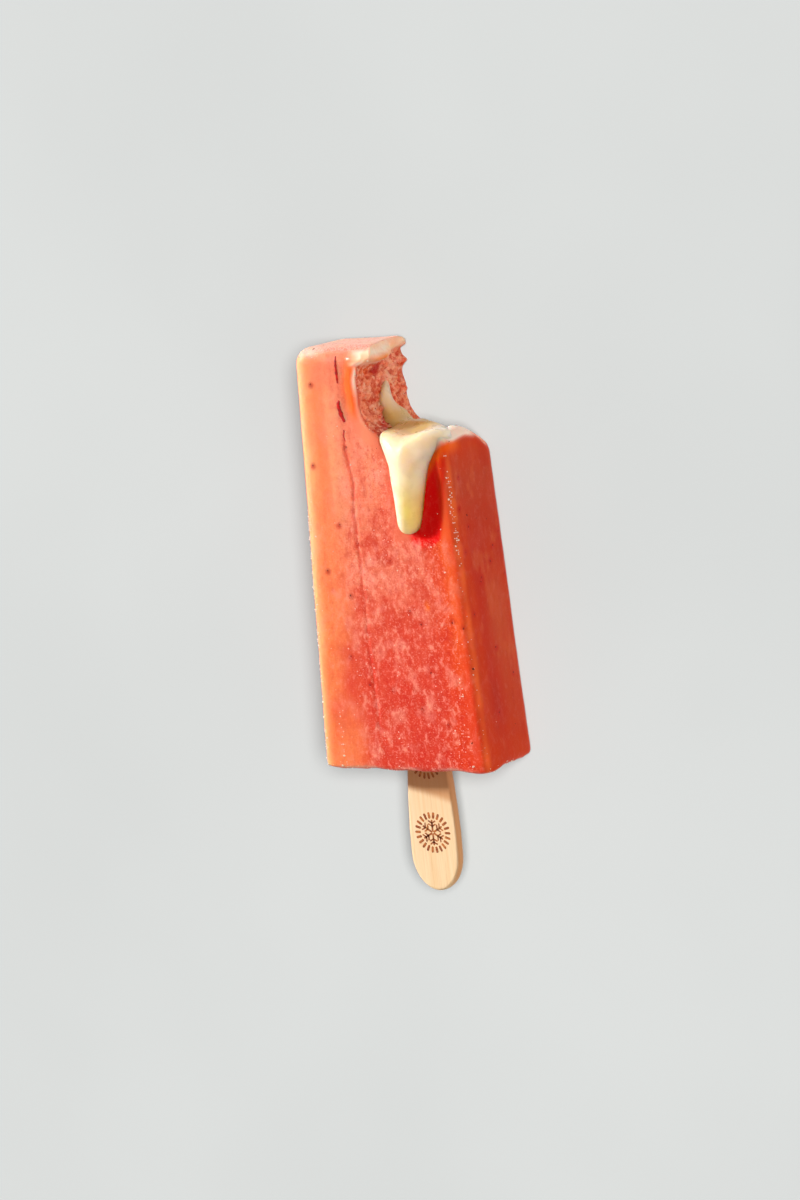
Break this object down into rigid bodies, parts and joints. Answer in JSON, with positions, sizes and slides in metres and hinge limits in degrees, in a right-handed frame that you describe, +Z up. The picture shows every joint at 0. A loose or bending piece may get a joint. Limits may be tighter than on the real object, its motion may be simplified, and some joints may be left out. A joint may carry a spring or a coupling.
{
  "type": "ice pop",
  "caption": "Tapered fruit ice pop with a bite out of one tip corner, a sweet milk filling that drips down its front, and a wooden paddle stick; lies on its back.",
  "frame": {"origin": "under the middle of the object's box, on the surface that the back face lies on", "axes": "+Y along the pop from the stick to the bitten tip, +Z up out of the shown front face, +X across the pop towards the bitten side"},
  "size_m": [0.0518, 0.1453, 0.0279],
  "materials": {
    "fruit_ice": "frosty translucent coral-red frozen fruit, slightly wet",
    "sweet_milk": "thick glossy cream-yellow sweet milk",
    "pale_wood": "bare pale birch, fine straight grain"
  },
  "bodies": {
    "root": {"ice_body": "fruit_ice", "cream_filling": "sweet_milk", "stick": "pale_wood"}
  },
  "joints": []
}
